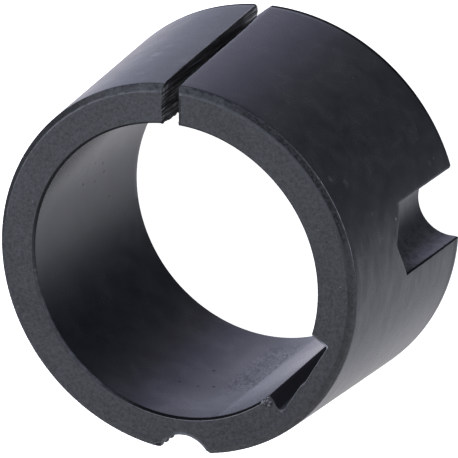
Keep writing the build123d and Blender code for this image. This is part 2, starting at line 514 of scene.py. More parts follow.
# end faces: the outline filled with evenly spread points
rng = np.random.RandomState(5)
cap_edges = []
for k, up in ((0, False), (K - 1, True)):
    ring = []
    for i in range(N):
        v = grid[(i, k, 0)]
        if not ring or (ring[-1] != v and v != ring[0]):
            ring.append(v)
    z = float(levels[k])
    outline = [Vector((verts[v][0], verts[v][1])) for v in ring]
    R, rb = outside_radius(z), bore_radius(z)
    extra = []
    spacing = 0.62
    rows = int((R - rb) / spacing)
    for q in range(1, rows):
        r = rb + (R - rb) * q / rows
        count = int(2 * math.pi * r / spacing)
        for m in range(count):
            a = 2 * math.pi * (m + 0.5 * (q % 2)) / count
            p = np.array([r * math.cos(a), r * math.sin(a)]) + rng.uniform(-0.05, 0.05, 2)
            extra.append(p)
    extra = np.array(extra)
    # keep only the points well inside the metal
    ol = np.array([(p.x, p.y) for p in outline])
    x, y = extra[:, 0][:, None], extra[:, 1][:, None]
    x0, y0 = ol[:, 0][None], ol[:, 1][None]
    x1, y1 = np.roll(ol[:, 0], -1)[None], np.roll(ol[:, 1], -1)[None]
    with np.errstate(divide="ignore", invalid="ignore"):
        cross = ((y0 > y) != (y1 > y)) & (x < (x1 - x0) * (y - y0) / (y1 - y0) + x0)
    inside = cross.sum(1) % 2 == 1
    near_edge = np.sqrt((x - x0) ** 2 + (y - y0) ** 2).min(1) < 0.28
    extra = extra[inside & ~near_edge]
    points = outline + [Vector((p[0], p[1])) for p in extra]
    m = len(outline)
    res = delaunay_2d_cdt(points, [(q, (q + 1) % m) for q in range(m)], [], 1, 1e-7)
    rv, rf, orig = res[0], res[2], res[3]
    vid = []
    for q, p in enumerate(rv):
        src = [s for s in orig[q]] if orig[q] else []
        src = [s for s in src if s < m]
        if src:
            vid.append(ring[src[0]])
        else:
            vid.append(len(verts))
            verts.append((p.x, p.y, z))
    for f in rf:
        loop = [vid[q] for q in f]
        pa, pb, pc = (rv[q] for q in f[:3])
        area = (pb.x - pa.x) * (pc.y - pa.y) - (pb.y - pa.y) * (pc.x - pa.x)
        if (area > 0) != up:
            loop = loop[::-1]
        add_face(loop, 0)
    cap_edges += [(ring[q], ring[(q + 1) % m]) for q in range(m)]

v = np.array(verts) / 1000.0
mesh = bpy.data.meshes.new("bush_body")
mesh.from_pydata([tuple(p) for p in v], [], faces)
mesh.validate(verbose=False)
mesh.update()

# the volume by the divergence theorem, printed below; positive when the normals point outward
vol = 0.0
co = np.array([p.co[:] for p in mesh.vertices])
mesh.calc_loop_triangles()
tri = np.array([t.vertices[:] for t in mesh.loop_triangles])
vol = float(np.einsum("ij,ij->i", co[tri[:, 0]], np.cross(co[tri[:, 1]], co[tri[:, 2]])).sum() / 6.0)
print("triangles", len(tri), "volume mm3", vol * 1e9, "columns", N, "levels", K)

bush = bpy.data.objects.new("bush_body", mesh)
bpy.context.scene.collection.objects.link(bush)
for p, m in zip(mesh.polygons, face_mat):
    p.material_index = m
mesh.polygons.foreach_set("use_smooth", [True] * len(mesh.polygons))
rim = {tuple(sorted(e)) for e in cap_edges}
for e in mesh.edges:
    if tuple(sorted(e.vertices)) in rim:
        e.use_edge_sharp = True


# ------------------------------------------------------------------ materials
class Tree:
    """Short names for the nodes of one material."""

    def __init__(self, name):
        self.mat = bpy.data.materials.new(name)
        self.mat.use_nodes = True
        self.nt = self.mat.node_tree
        self.nt.nodes.clear()
        self.out = self.nt.nodes.new("ShaderNodeOutputMaterial")
        self.bsdf = self.nt.nodes.new("ShaderNodeBsdfPrincipled")
        self.nt.links.new(self.bsdf.outputs[0], self.out.inputs[0])
        coord = self.nt.nodes.new("ShaderNodeTexCoord")
        mm = self.nt.nodes.new("ShaderNodeVectorMath")
        mm.operation = "SCALE"
        self.link(coord.outputs["Object"], mm.inputs[0])
        mm.inputs["Scale"].default_value = 1000.0
        self.mm = mm.outputs[0]  # position in millimetres
        sep = self.nt.nodes.new("ShaderNodeSeparateXYZ")
        self.link(self.mm, sep.inputs[0])
        self.x, self.y, self.z = sep.outputs
        self.r = self.math("SQRT", self.math("ADD", self.math("MULTIPLY", self.x, self.x), self.math("MULTIPLY", self.y, self.y)))
        self.a = self.math("ARCTAN2", self.y, self.x)

    def link(self, a, b):
        self.nt.links.new(a, b)

    def put(self, socket, value):
        if hasattr(value, "links") or hasattr(value, "is_linked"):
            self.link(value, socket)
        else:
            socket.default_value = value

    def math(self, op, a, b=None, c=None, clamp=False):
        n = self.nt.nodes.new("ShaderNodeMath")
        n.operation = op
        n.use_clamp = clamp
        for i, v in enumerate((a, b, c)):
            if v is not None:
                self.put(n.inputs[i], v)
        return n.outputs[0]

    def vec(self, x, y, z):
        n = self.nt.nodes.new("ShaderNodeCombineXYZ")
        for i, v in enumerate((x, y, z)):
            self.put(n.inputs[i], v)
        return n.outputs[0]

    def noise(self, vector, scale, detail=4.0, rough=0.55, distortion=0.0):
        """About 0 to 1, mean 0.5."""
        n = self.nt.nodes.new("ShaderNodeTexNoise")
        self.link(vector, n.inputs["Vector"])
        n.inputs["Scale"].default_value = scale
        n.inputs["Detail"].default_value = detail
        n.inputs["Roughness"].default_value = rough
        n.inputs["Distortion"].default_value = distortion
        return n.outputs[0]

    def voronoi(self, vector, scale, randomness=1.0):
        n = self.nt.nodes.new("ShaderNodeTexVoronoi")
        self.link(vector, n.inputs["Vector"])
        n.inputs["Scale"].default_value = scale
        n.inputs["Randomness"].default_value = randomness
        return n.outputs["Distance"]

    def span(self, value, a, b, lo_, hi_, smooth=False):
        n = self.nt.nodes.new("ShaderNodeMapRange")
        n.interpolation_type = "SMOOTHSTEP" if smooth else "LINEAR"
        n.clamp = True
        self.put(n.inputs[0], value)
        for i, v in enumerate((a, b, lo_, hi_)):
            n.inputs[i + 1].default_value = v
        return n.outputs[0]

    def mix(self, fac, a, b):
        n = self.nt.nodes.new("ShaderNodeMix")
        n.data_type = "RGBA"
        self.put(n.inputs[0], fac)
        self.put(n.inputs[6], a)
        self.put(n.inputs[7], b)
        return n.outputs[2]

    def specks(self, scale, radius, rarity, seed=0.0):
        """Scattered small spots: 1 at a spot, 0 elsewhere. Only cells whose random number passes rarity have one."""
        shift = self.nt.nodes.new("ShaderNodeVectorMath")
        shift.operation = "ADD"
        self.link(self.mm, shift.inputs[0])
        shift.inputs[1].default_value = (seed, 2.0 * seed, 3.0 * seed)
        n = self.nt.nodes.new("ShaderNodeTexVoronoi")
        self.link(shift.outputs[0], n.inputs["Vector"])
        n.inputs["Scale"].default_value = scale
        sep = self.nt.nodes.new("ShaderNodeSeparateXYZ")
        self.link(n.outputs["Color"], sep.inputs[0])
        chosen = self.math("GREATER_THAN", sep.outputs[0], rarity)
        size = self.math("MULTIPLY", self.math("ADD", sep.outputs[1], 0.5), radius * scale)
        return self.math("MULTIPLY", self.math("LESS_THAN", n.outputs["Distance"], size), chosen)

    def blob(self, centre, radius, soft):
        """1 within radius mm of a point, falling to 0 over soft mm."""
        d = self.nt.nodes.new("ShaderNodeVectorMath")
        d.operation = "DISTANCE"
        self.link(self.mm, d.inputs[0])
        d.inputs[1].default_value = centre
        return self.span(d.outputs["Value"], radius, radius + soft, 1.0, 0.0, True)

    def bump(self, height, strength, distance, normal=None):
        n = self.nt.nodes.new("ShaderNodeBump")
        n.inputs["Strength"].default_value = strength
        n.inputs["Distance"].default_value = distance
        self.link(height, n.inputs["Height"])
        if normal is not None:
            self.link(normal, n.inputs["Normal"])
        return n.outputs[0]

    def finish(self, color, rough, normal=None, ior=1.5, spec=None):
        self.put(self.bsdf.inputs["Base Color"], color)
        self.put(self.bsdf.inputs["Roughness"], rough)
        self.bsdf.inputs["IOR"].default_value = ior
        if spec is not None:
            self.link(spec, self.bsdf.inputs["Specular IOR Level"])
        if normal is not None:
            self.link(normal, self.bsdf.inputs["Normal"])
        return self.mat


def rgb(r, g, b):
    return (r, g, b, 1.0)


def at(angle, r, z):
    """A point in mm from its angle in degrees, radius and height."""
    return (r * math.cos(math.radians(angle)), r * math.sin(math.radians(angle)), z)


def face_material():
    t = Tree("oxide_turned_face")
    grain = t.noise(t.mm, 6.2, 3.0, 0.65)
    fine = t.noise(t.mm, 2.8, 4.0, 0.6)
    broad = t.noise(t.mm, 0.25, 3.0, 0.5)
    rings = t.noise(t.vec(t.math("MULTIPLY", t.r, 5.0), t.math("MULTIPLY", t.a, 1.2), 0.0), 1.0, 3.0, 0.6)
    tone = t.math("ADD", t.math("MULTIPLY", fine, 0.36), t.math("MULTIPLY", broad, 0.12))
    tone = t.math("ADD", tone, t.math("MULTIPLY", grain, 0.42))
    tone = t.math("ADD", tone, t.math("MULTIPLY", rings, 0.10))
    color = t.mix(t.span(tone, 0.40, 0.60, 0.0, 1.0), rgb(0.0085, 0.0086, 0.0088), rgb(0.036, 0.0364, 0.037))
    light, dark = t.specks(1.35, 0.055, 0.86), t.specks(1.1, 0.07, 0.80, 5.3)
    color = t.mix(light, color, rgb(0.09, 0.091, 0.093))
    color = t.mix(dark, color, rgb(0.004, 0.004, 0.0042))
    # torn metal beside the keyway's corner
    burr = t.blob(at(-56.9, 14.42, L), 0.32, 0.24)
    speck = t.noise(t.mm, 5.6, 2.0, 0.7)
    color = t.mix(t.math("MULTIPLY", burr, t.span(speck, 0.50, 0.58, 0.0, 0.9)), color, rgb(0.15, 0.152, 0.156))
    color = t.mix(t.math("MULTIPLY", burr, t.span(speck, 0.48, 0.42, 0.0, 1.0)), color, rgb(0.002, 0.002, 0.002))
    # the edge at the tapped half-hole's mouth, and the one with the chamfer low on the right, are rubbed light
    c = SCREW_R * unit(np.array(TAP_DIR))
    dx, dy = t.math("SUBTRACT", t.x, float(c[0])), t.math("SUBTRACT", t.y, float(c[1]))
    near = t.math("SQRT", t.math("ADD", t.math("MULTIPLY", dx, dx), t.math("MULTIPLY", dy, dy)))
    band = t.math("MULTIPLY", t.span(near, TAP_R + 0.30, TAP_R + 0.42, 1.0, 0.0), t.span(dx, -0.9, 0.2, 0.0, 1.0))
    color = t.mix(t.math("MULTIPLY", band, t.span(fine, 0.32, 0.52, 0.5, 0.95)), color, rgb(0.082, 0.083, 0.085))
    crumb = t.math("MULTIPLY", t.blob(at(-54.6, 15.72, L), 0.12, 0.14), t.span(speck, 0.42, 0.52, 0.3, 1.0))
    color = t.mix(crumb, color, rgb(0.075, 0.0757, 0.0775))
    rough = t.math("ADD", t.span(fine, 0.3, 0.7, 0.47, 0.57), t.span(rings, 0.3, 0.7, -0.03, 0.03))
    n = t.bump(grain, 0.35, 0.00003)
    n = t.bump(rings, 0.25, 0.00002, n)
    n = t.bump(dark, -0.6, 0.00004, n)
    n = t.bump(t.math("MULTIPLY", burr, speck), 1.0, 0.00025, n)
    return t.finish(color, rough, n, 1.5)


def chamfer_material():
    t = Tree("turned_chamfer")
    grain = t.noise(t.mm, 4.6, 3.0, 0.62)
    fine = t.noise(t.mm, 1.7, 4.0, 0.6)
    tone = t.math("ADD", t.math("MULTIPLY", grain, 0.5), t.math("MULTIPLY", fine, 0.5))
    color = t.mix(t.span(tone, 0.40, 0.60, 0.0, 1.0), rgb(0.006, 0.0061, 0.0063), rgb(0.040, 0.0404, 0.041))
    h = t.math("SUBTRACT", L, t.z)

    def sector(a0, a1, b0, b1):
        """1 between the angles a1 and b0, falling to 0 at a0 and b1 (degrees)."""
        up = t.span(t.a, math.radians(a0), math.radians(a1), 0.0, 1.0, True)
        return t.math("MULTIPLY", up, t.span(t.a, math.radians(b0), math.radians(b1), 1.0, 0.0, True))

    # painted highlight along the corner with the taper, in patches on the right and fainter at the bottom
    edge = t.math("SUBTRACT", 1.0, t.span(t.math("ABSOLUTE", t.math("SUBTRACT", h, SMALL_CHAMFER)), 0.015, 0.045, 0.0, 1.0))
    patch = t.noise(t.vec(t.math("MULTIPLY", t.a, 11.0), 0.0, 0.0), 1.0, 4.0, 0.7)
    chip = t.noise(t.vec(t.math("MULTIPLY", t.a, 60.0), t.math("MULTIPLY", h, 12.0), 3.0), 1.0, 2.0, 0.6)
    wear_and_highlight = t.math("MULTIPLY", t.math("MULTIPLY", edge, sector(-8, 8, 26, 48)), t.span(patch, 0.40, 0.56, 0.12, 1.0))
    wear_and_highlight = t.math("MULTIPLY", wear_and_highlight, t.span(chip, 0.38, 0.55, 0.35, 1.0))
    color = t.mix(wear_and_highlight, color, rgb(0.26, 0.262, 0.268))
    faint = t.math("MULTIPLY", edge, sector(-100, -90, -52, -40))
    color = t.mix(t.math("MULTIPLY", faint, t.span(chip, 0.30, 0.5, 0.3, 0.9)), color, rgb(0.10, 0.101, 0.103))
    # torn dark dashes along the middle of the band, and a painted highlight along its inner edge on the right
    dash = t.noise(t.vec(t.math("MULTIPLY", t.a, 44.0), t.math("MULTIPLY", h, 7.0), 0.0), 1.0, 3.0, 0.65)
    torn = t.math("MULTIPLY", t.span(dash, 0.42, 0.54, 0.25, 1.0), t.span(h, 0.15, 0.23, 0.0, 1.0))
    torn = t.math("MULTIPLY", t.math("MULTIPLY", torn, t.span(h, 0.44, 0.56, 1.0, 0.0)), sector(5, 16, 56, 68))
    face_edge_highlight = t.math("MULTIPLY", t.span(h, 0.13, 0.20, 1.0, 0.0), sector(-4, 8, 54, 70))
    color = t.mix(t.math("MULTIPLY", face_edge_highlight, 0.85), color, rgb(0.044, 0.0444, 0.045))
    color = t.mix(t.math("MULTIPLY", torn, 0.85), color, rgb(0.002, 0.002, 0.0021))
    # a painted highlight as a mottled inner line round the upper side, and painted shade outside it on the far side,
    # where the band is also rougher and less shiny
    inner = t.math("MULTIPLY", t.span(h, 0.10, 0.18, 1.0, 0.0), sector(12, 30, 150, 172))
    inner = t.math("MULTIPLY", inner, t.math("SUBTRACT", 1.0, torn))
    color = t.mix(t.math("MULTIPLY", inner, t.span(fine, 0.35, 0.6, 0.15, 0.7)), color, rgb(0.060, 0.0605, 0.062))
    far_side_shade = t.math("MULTIPLY", sector(100, 124, 158, 180), t.span(h, 0.06, 0.15, 0.0, 1.0, True))
    color = t.mix(t.math("MULTIPLY", far_side_shade, 0.75), color, rgb(0.0030, 0.0027, 0.0024))
    # painted shade over the band's half by the face and a painted highlight over its half by the taper, low on the
    # right
    low = t.math("MULTIPLY", sector(-52, -40, 6, 22), t.math("SUBTRACT", t.span(fine, 0.35, 0.65, 1.0, 0.5), t.math("MULTIPLY", wear_and_highlight, 0.5)))
    color = t.mix(t.math("MULTIPLY", t.math("MULTIPLY", low, t.span(h, 0.28, 0.42, 1.0, 0.0)), 0.45), color, rgb(0.004, 0.0041, 0.0046))
    color = t.mix(t.math("MULTIPLY", t.math("MULTIPLY", low, t.math("MULTIPLY", t.span(h, 0.34, 0.44, 0.0, 1.0), t.math("SUBTRACT", 1.0, wear_and_highlight))), 0.25), color, rgb(0.052, 0.0524, 0.0535))
    rough = t.math("ADD", t.span(fine, 0.3, 0.7, 0.52, 0.62), t.math("MULTIPLY", t.math("MAXIMUM", far_side_shade, torn), 0.30))
    n = t.bump(grain, 0.5, 0.00005)
    spec = t.span(far_side_shade, 0.0, 1.0, 0.5, 0.34)
    return t.finish(color, rough, n, 1.5, spec)


def bore_edge_material():
    t = Tree("bore_corner")
    grain = t.noise(t.mm, 4.6, 3.0, 0.62)
    color = t.mix(t.span(grain, 0.38, 0.62, 0.0, 1.0), rgb(0.010, 0.0102, 0.0105), rgb(0.030, 0.0304, 0.031))
    # painted shade: the inner part of the corner is black along its lower run, with a painted highlight line in patches
    # along its outer part
    out = t.span(t.r, 14.155, 14.185, 0.0, 1.0, True)
    chip = t.noise(t.vec(t.math("MULTIPLY", t.a, 30.0), 0.0, 7.0), 1.0, 3.0, 0.65)
    lower = t.math("MULTIPLY", t.span(t.a, math.radians(-128), math.radians(-108), 0.0, 1.0, True), t.span(t.a, math.radians(-50), math.radians(-30), 1.0, 0.0, True))
    black = t.math("MULTIPLY", t.math("SUBTRACT", 1.0, out), lower)
    color = t.mix(black, color, rgb(0.002, 0.002, 0.0022))
    color = t.mix(t.math("MULTIPLY", t.math("MULTIPLY", out, lower), t.span(chip, 0.40, 0.58, 0.2, 1.0)), color, rgb(0.080, 0.081, 0.083))
    # painted highlight in patches along the inner part of the corner on the left
    left = t.math("MULTIPLY", t.math("SUBTRACT", 1.0, out), t.span(t.a, math.radians(-134), math.radians(-122), 1.0, 0.0, True))
    patch = t.noise(t.vec(t.math("MULTIPLY", t.a, 16.0), 0.0, 0.0), 1.0, 3.0, 0.6)
    color = t.mix(t.math("MULTIPLY", left, t.span(patch, 0.35, 0.6, 0.0, 1.0)), color, rgb(0.085, 0.086, 0.088))
    burr = t.blob(at(-57.2, 14.2, L), 0.40, 0.3)
    speck = t.noise(t.mm, 5.6, 2.0, 0.7)
    color = t.mix(t.math("MULTIPLY", burr, t.span(speck, 0.50, 0.56, 0.0, 1.0)), color, rgb(0.22, 0.222, 0.226))
    color = t.mix(t.math("MULTIPLY", burr, t.span(speck, 0.46, 0.40, 0.0, 1.0)), color, rgb(0.002, 0.002, 0.002))
    # the upper left run of the corner at the small end is made black and less shiny
    upper = t.math("MULTIPLY", t.span(t.a, math.radians(92), math.radians(104), 0.0, 1.0, True), t.span(t.a, math.radians(150), math.radians(178), 1.0, 0.0, True))
    upper = t.math("MULTIPLY", t.math("MULTIPLY", upper, 0.62), t.math("GREATER_THAN", t.z, 0.5 * L))
    color = t.mix(upper, color, rgb(0.002, 0.002, 0.0024))
    black = t.math("MULTIPLY", t.math("MAXIMUM", black, upper), t.math("SUBTRACT", 1.0, burr))
    rough = t.math("ADD", 0.5, t.math("MULTIPLY", black, 0.3))
    return t.finish(color, rough, t.bump(grain, 0.5, 0.00004), 1.5, t.span(black, 0.0, 1.0, 0.5, 0.12))


def taper_material():
    t = Tree("oxide_ground_taper")
    streak = t.noise(t.vec(t.math("MULTIPLY", t.a, 5.0), t.math("MULTIPLY", t.z, 2.2), 0.0), 1.0, 5.0, 0.6)
    fine = t.noise(t.mm, 2.4, 3.0, 0.55)
    cloud = t.noise(t.mm, 0.42, 5.0, 0.62, 0.6)
    smear = t.noise(t.vec(t.math("MULTIPLY", t.a, 14.0), t.math("MULTIPLY", t.z, 0.9), 2.0), 1.0, 4.0, 0.62, 0.4)
    wipe = t.noise(t.vec(t.math("MULTIPLY", t.a, 6.5), t.math("MULTIPLY", t.z, 0.95), 6.0), 1.0, 4.0, 0.55, 0.4)
    color = t.mix(t.span(cloud, 0.36, 0.64, 0.0, 1.0), rgb(0.0110, 0.0111, 0.0118), rgb(0.0180, 0.0182, 0.0192))
    color = t.mix(t.span(fine, 0.56, 0.74, 0.0, 0.16), color, rgb(0.030, 0.0303, 0.0315))

    def sector(a0, a1, b0, b1):
        """1 between the angles a1 and b0, falling to 0 at a0 and b1 (degrees)."""
        up = t.span(t.a, math.radians(a0), math.radians(a1), 0.0, 1.0, True)
        return t.math("MULTIPLY", up, t.span(t.a, math.radians(b0), math.radians(b1), 1.0, 0.0, True))

    # painted light: the upper left side is lighter; handling marks: lighter smudges, soft vertical wipes low down, a
    # few bright specks
    color = t.mix(t.math("MULTIPLY", sector(103, 109, 140, 160), 0.75), color, rgb(0.028, 0.0282, 0.0300))
    smudge = t.span(smear, 0.58, 0.74, 0.0, 1.0)
    far = t.span(t.a, math.radians(84), math.radians(90), 0.13, 1.0, True)
    color = t.mix(t.math("MULTIPLY", t.math("MULTIPLY", smudge, far), 0.6), color, rgb(0.048, 0.049, 0.055))
    low_side = sector(-70, -45, 2, 14)
    color = t.mix(t.math("MULTIPLY", low_side, t.span(wipe, 0.42, 0.74, 0.0, 0.45)), color, rgb(0.060, 0.061, 0.063))
    color = t.mix(t.math("MULTIPLY", low_side, t.span(wipe, 0.46, 0.28, 0.0, 0.5)), color, rgb(0.004, 0.0041, 0.0043))
    for angle, z, r, soft, k, bright in (
        (100.9, 13.2, 0.30, 0.60, 0.8, 0.085), (101.6, 14.6, 0.15, 0.45, 0.6, 0.08), (100.0, 11.2, 0.15, 0.50, 0.6, 0.08), (98.0, 18.6, 0.2, 0.6, 0.35, 0.075),
        (28.4, 20.2, 0.10, 0.35, 0.30, 0.075), (25.0, 18.3, 0.12, 0.45, 0.30, 0.075), (13.0, 16.3, 0.05, 0.2, 0.35, 0.08),
        (14.9, 3.9, 0.08, 0.30, 0.35, 0.08), (15.4, 3.0, 0.04, 0.15, 0.5, 0.09), (47.3, 6.5, 0.02, 0.09, 0.9, 0.12),
        (7.3, 12.6, 0.05, 0.13, 0.8, 0.14), (8.3, 11.9, 0.03, 0.10, 0.6, 0.12),
        (-15.8, 2.9, 0.10, 0.30, 0.35, 0.10), (-42.0, 9.7, 0.05, 0.15, 0.5, 0.14),
    ):
        m = t.math("MULTIPLY", t.blob(at(angle, LARGE_R - z * SLOPE, z), r, soft), k)
        color = t.mix(t.math("MULTIPLY", m, t.span(fine, 0.4, 0.6, 0.3, 1.0)), color, rgb(bright, bright * 1.01, bright * 1.07))
    # a small dark ring mark
    centre = at(76.6, LARGE_R - 12.5 * SLOPE, 12.5)
    ring = t.math("SUBTRACT", t.blob(centre, 0.20, 0.06), t.blob(centre, 0.10, 0.06))
    color = t.mix(t.math("MULTIPLY", ring, 0.6), color, rgb(0.003, 0.003, 0.0032))
    for angle, z, r in ((-1.8, 17.3, 0.07), (-2.6, 16.7, 0.06), (-5.2, 12.9, 0.06), (-6.0, 13.6, 0.05), (-30.0, 15.0, 0.05), (112.0, 9.0, 0.05)):
        color = t.mix(t.math("MULTIPLY", t.blob(at(angle, LARGE_R - z * SLOPE, z), r, 0.12), 0.75), color, rgb(0.003, 0.003, 0.0032))
    light = t.specks(0.85, 0.045, 0.84)
    color = t.mix(t.math("MULTIPLY", light, 0.6), color, rgb(0.075, 0.076, 0.08))
    # painted highlight along both edges of the saw cut
    across = t.math("ADD", t.math("MULTIPLY", t.x, float(n_dir[0])), t.math("MULTIPLY", t.y, float(n_dir[1])))
    middle = t.math("ADD", SLOT_LARGE, t.math("MULTIPLY", t.z, (SLOT_SMALL - SLOT_LARGE) / L))
    off = t.math("SUBTRACT", t.math("ABSOLUTE", t.math("SUBTRACT", across, middle)), SLOT_W / 2)
    edge_highlight = t.math("MULTIPLY", t.span(off, 0.06, 0.24, 1.0, 0.0), t.math("GREATER_THAN", t.y, 0.0))
    # less so on the side away from the light, near the small end
    weak = t.math("MULTIPLY", t.math("GREATER_THAN", t.math("SUBTRACT", across, middle), 0.0), t.span(t.z, 9.0, 16.0, 0.35, 0.85))
    edge_highlight = t.math("MULTIPLY", edge_highlight, t.math("SUBTRACT", 1.0, weak))
    color = t.mix(t.math("MULTIPLY", edge_highlight, t.span(fine, 0.35, 0.6, 0.45, 1.0)), color, rgb(0.085, 0.086, 0.090))
    # painted highlight along the upper edge of the plain half-hole's mouth
    beyond = t.math("SUBTRACT", t.x, SCREW_R)
    hole = t.math("SQRT", t.math("ADD", t.math("MULTIPLY", beyond, beyond), t.math("MULTIPLY", t.y, t.y)))
    lit = t.math("MULTIPLY", t.span(hole, PLAIN_R + 0.13, PLAIN_R + 0.25, 1.0, 0.0), t.math("MULTIPLY", t.span(t.y, 0.5, 1.5, 0.0, 1.0), t.span(t.z, 11.3, 11.9, 1.0, 0.0)))
    color = t.mix(t.math("MULTIPLY", lit, 0.5), color, rgb(0.085, 0.086, 0.090))
    # the large end's corner: over the top a black line with a light one beside it, low on the right a light line with
    # a dark one beside it
    top = sector(4, 40, 150, 170)
    right = sector(-74, -56, -2, 16)
    line = t.math("MULTIPLY", t.span(t.z, 0.64, 0.82, 1.0, 0.0), top)
    color = t.mix(t.math("MULTIPLY", line, 0.85), color, rgb(0.002, 0.002, 0.0022))
    beside = t.math("MULTIPLY", t.span(t.z, 0.72, 0.86, 0.0, 1.0), t.span(t.z, 1.00, 1.25, 1.0, 0.0))
    color = t.mix(t.math("MULTIPLY", t.math("MULTIPLY", beside, sector(50, 84, 120, 150)), 0.5), color, rgb(0.085, 0.086, 0.090))
    shade = t.math("MULTIPLY", t.math("MULTIPLY", t.span(t.z, 0.50, 0.70, 0.0, 1.0), t.span(t.z, 1.05, 1.45, 1.0, 0.0)), right)
    color = t.mix(t.math("MULTIPLY", shade, 0.95), color, rgb(0.003, 0.003, 0.0032))
    rim_ = t.math("MULTIPLY", t.span(t.z, 0.42, 0.56, 1.0, 0.0), right)
    color = t.mix(t.math("MULTIPLY", rim_, 0.7), color, rgb(0.085, 0.086, 0.088))
    rough = t.math("ADD", t.span(streak, 0.3, 0.7, 0.235, 0.265), t.span(cloud, 0.3, 0.7, -0.020, 0.030))
    rough = t.math("ADD", rough, t.math("MULTIPLY", low_side, t.span(wipe, 0.3, 0.7, -0.025, 0.03)))
    rough = t.math("ADD", rough, t.math("MULTIPLY", line, 0.35))
    spec = t.math("SUBTRACT", 0.5, t.math("ADD", t.math("MULTIPLY", line, 0.48), t.math("MULTIPLY", shade, 0.16)))
    # smears change the shine as well
    sheen = t.math("MULTIPLY", t.span(smear, 0.30, 0.72, -0.07, 0.10), t.span(far, 0.13, 1.0, 0.35, 1.0))
    sheen = t.math("ADD", sheen, t.math("MULTIPLY", low_side, t.span(wipe, 0.30, 0.70, -0.05, 0.06)))
    sheen = t.math("SUBTRACT", sheen, t.math("MULTIPLY", t.blob(at(96.5, LARGE_R - 5.4 * SLOPE, 5.4), 0.8, 3.4), 0.10))
    sheen = t.math("ADD", sheen, t.math("MULTIPLY", t.blob(at(109.0, LARGE_R - 16.0 * SLOPE, 16.0), 1.0, 4.0), 0.06))
    spec = t.math("ADD", spec, t.math("MULTIPLY", sheen, t.math("SUBTRACT", 1.0, line)))
    n = t.bump(fine, 0.07, 0.00002)
    n = t.bump(streak, 0.05, 0.00004, n)
    return t.finish(color, rough, n, 1.5, spec)


